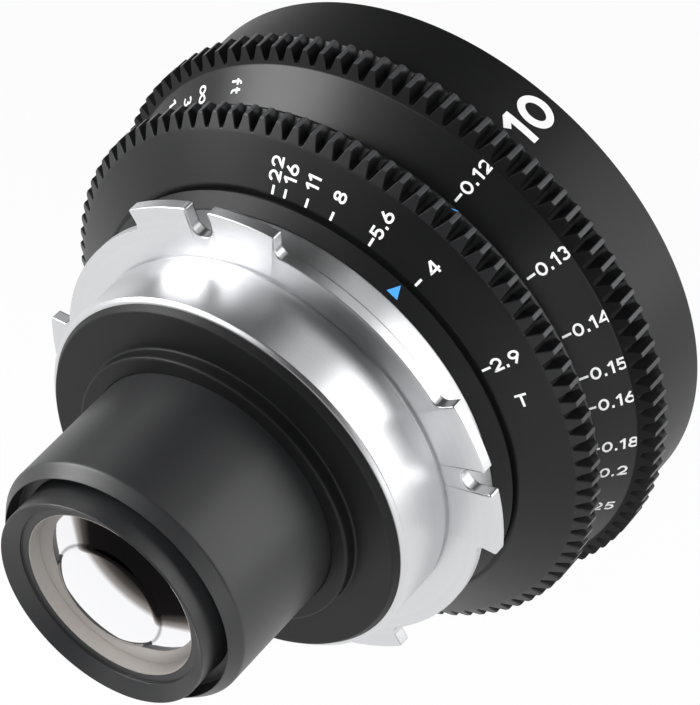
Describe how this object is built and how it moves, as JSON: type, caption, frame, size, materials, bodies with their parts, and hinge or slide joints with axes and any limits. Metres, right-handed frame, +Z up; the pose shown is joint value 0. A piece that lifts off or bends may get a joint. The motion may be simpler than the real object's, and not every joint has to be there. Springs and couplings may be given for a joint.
{
  "type": "cinema prime lens",
  "caption": "Short black cinema prime lens with geared iris and focus rings, a bright bayonet tube mount with key-notched tabs and a long rear lens barrel.",
  "frame": {"origin": "on the optical axis, in the flange face that seats on the camera", "axes": "+Y along the optical axis towards the front glass, +Z up in the picture, +X to the right seen from behind"},
  "size_m": [0.0832, 0.0731, 0.0832],
  "materials": {
    "black_anodised": "satin black anodised aluminium",
    "ring_anodised": "satin black anodised aluminium with white and blue engraved marks",
    "bright_mount": "satin bright plated metal, turned",
    "dark_steel": "dark steel",
    "brass": "bare turned brass",
    "blade_black": "matt black sheet steel",
    "optical_glass": "coated optical glass"
  },
  "bodies": {
    "lens_body": {"pl_mount": "bright_mount", "mount_shim": "brass", "mount_screws": "dark_steel", "rear_cover": "black_anodised", "rear_barrel": "black_anodised", "rear_cell": "black_anodised", "rear_glass": "optical_glass", "rear_glass_ring": "dark_steel", "rear_spacer": "black_anodised", "rear_doublet_back": "optical_glass", "rear_doublet_front": "optical_glass", "main_barrel": "black_anodised", "iris_index_ring": "black_anodised", "iris_base": "black_anodised", "iris_retaining_ring": "black_anodised", "focus_index_ring": "black_anodised", "guide_pins": "dark_steel", "front_cell": "black_anodised", "front_glass": "optical_glass", "front_glass_ring": "black_anodised", "front_barrel": "black_anodised", "front_trim_ring": "black_anodised"},
    "iris_drive": {"iris_ring": "ring_anodised", "iris_drive_pin": "dark_steel", "iris_drive_ring": "dark_steel"},
    "focus_drive": {"focus_ring": "ring_anodised", "focus_drive_pins": "dark_steel", "focus_sleeve": "brass"},
    "focus_group": {"focus_carrier": "black_anodised", "focus_glass_back": "optical_glass", "focus_glass_front": "optical_glass", "focus_glass_ring": "dark_steel"},
    "iris_blade_1": {"iris_blade_1": "blade_black"},
    "iris_blade_2": {"iris_blade_2": "blade_black"},
    "iris_blade_3": {"iris_blade_3": "blade_black"},
    "iris_blade_4": {"iris_blade_4": "blade_black"},
    "iris_blade_5": {"iris_blade_5": "blade_black"},
    "iris_blade_6": {"iris_blade_6": "blade_black"},
    "iris_blade_7": {"iris_blade_7": "blade_black"},
    "iris_blade_8": {"iris_blade_8": "blade_black"},
    "iris_blade_9": {"iris_blade_9": "blade_black"}
  },
  "joints": [
    {"name": "iris_turn", "type": "hinge", "parent": "lens_body", "child": "iris_drive", "pos_m": [0, 0, 0], "axis": [0, -1, 0], "range_deg": [-36.4, 26.2]},
    {"name": "focus_turn", "type": "hinge", "parent": "lens_body", "child": "focus_drive", "pos_m": [0, 0, 0], "axis": [0, -1, 0], "range_deg": [0, 109]},
    {"name": "focus_slide", "type": "slide", "parent": "lens_body", "child": "focus_group", "axis": [0, 1, 0], "range_m": [-0.0016, 0]},
    {"name": "iris_blade_1_pivot", "type": "hinge", "parent": "lens_body", "child": "iris_blade_1", "pos_m": [0.012, 0, 0], "axis": [0, -1, 0], "range_deg": [-15.08, 10.86]},
    {"name": "iris_blade_2_pivot", "type": "hinge", "parent": "lens_body", "child": "iris_blade_2", "pos_m": [0.00919, 0, 0.00771], "axis": [0, -1, 0], "range_deg": [-15.08, 10.86]},
    {"name": "iris_blade_3_pivot", "type": "hinge", "parent": "lens_body", "child": "iris_blade_3", "pos_m": [0.00208, 0, 0.01182], "axis": [0, -1, 0], "range_deg": [-15.08, 10.86]},
    {"name": "iris_blade_4_pivot", "type": "hinge", "parent": "lens_body", "child": "iris_blade_4", "pos_m": [-0.006, 0, 0.01039], "axis": [0, -1, 0], "range_deg": [-15.08, 10.86]},
    {"name": "iris_blade_5_pivot", "type": "hinge", "parent": "lens_body", "child": "iris_blade_5", "pos_m": [-0.01128, 0, 0.0041], "axis": [0, -1, 0], "range_deg": [-15.08, 10.86]},
    {"name": "iris_blade_6_pivot", "type": "hinge", "parent": "lens_body", "child": "iris_blade_6", "pos_m": [-0.01128, 0, -0.0041], "axis": [0, -1, 0], "range_deg": [-15.08, 10.86]},
    {"name": "iris_blade_7_pivot", "type": "hinge", "parent": "lens_body", "child": "iris_blade_7", "pos_m": [-0.006, 0, -0.01039], "axis": [0, -1, 0], "range_deg": [-15.08, 10.86]},
    {"name": "iris_blade_8_pivot", "type": "hinge", "parent": "lens_body", "child": "iris_blade_8", "pos_m": [0.00208, 0, -0.01182], "axis": [0, -1, 0], "range_deg": [-15.08, 10.86]},
    {"name": "iris_blade_9_pivot", "type": "hinge", "parent": "lens_body", "child": "iris_blade_9", "pos_m": [0.00919, 0, -0.00771], "axis": [0, -1, 0], "range_deg": [-15.08, 10.86]}
  ],
  "couplings": [
    {"joint": "focus_slide", "follows": "focus_turn", "m_per_rad": -0.000841},
    {"joint": "iris_blade_1_pivot", "follows": "iris_turn", "ratio": 0.414},
    {"joint": "iris_blade_2_pivot", "follows": "iris_turn", "ratio": 0.414},
    {"joint": "iris_blade_3_pivot", "follows": "iris_turn", "ratio": 0.414},
    {"joint": "iris_blade_4_pivot", "follows": "iris_turn", "ratio": 0.414},
    {"joint": "iris_blade_5_pivot", "follows": "iris_turn", "ratio": 0.414},
    {"joint": "iris_blade_6_pivot", "follows": "iris_turn", "ratio": 0.414},
    {"joint": "iris_blade_7_pivot", "follows": "iris_turn", "ratio": 0.414},
    {"joint": "iris_blade_8_pivot", "follows": "iris_turn", "ratio": 0.414},
    {"joint": "iris_blade_9_pivot", "follows": "iris_turn", "ratio": 0.414}
  ]
}
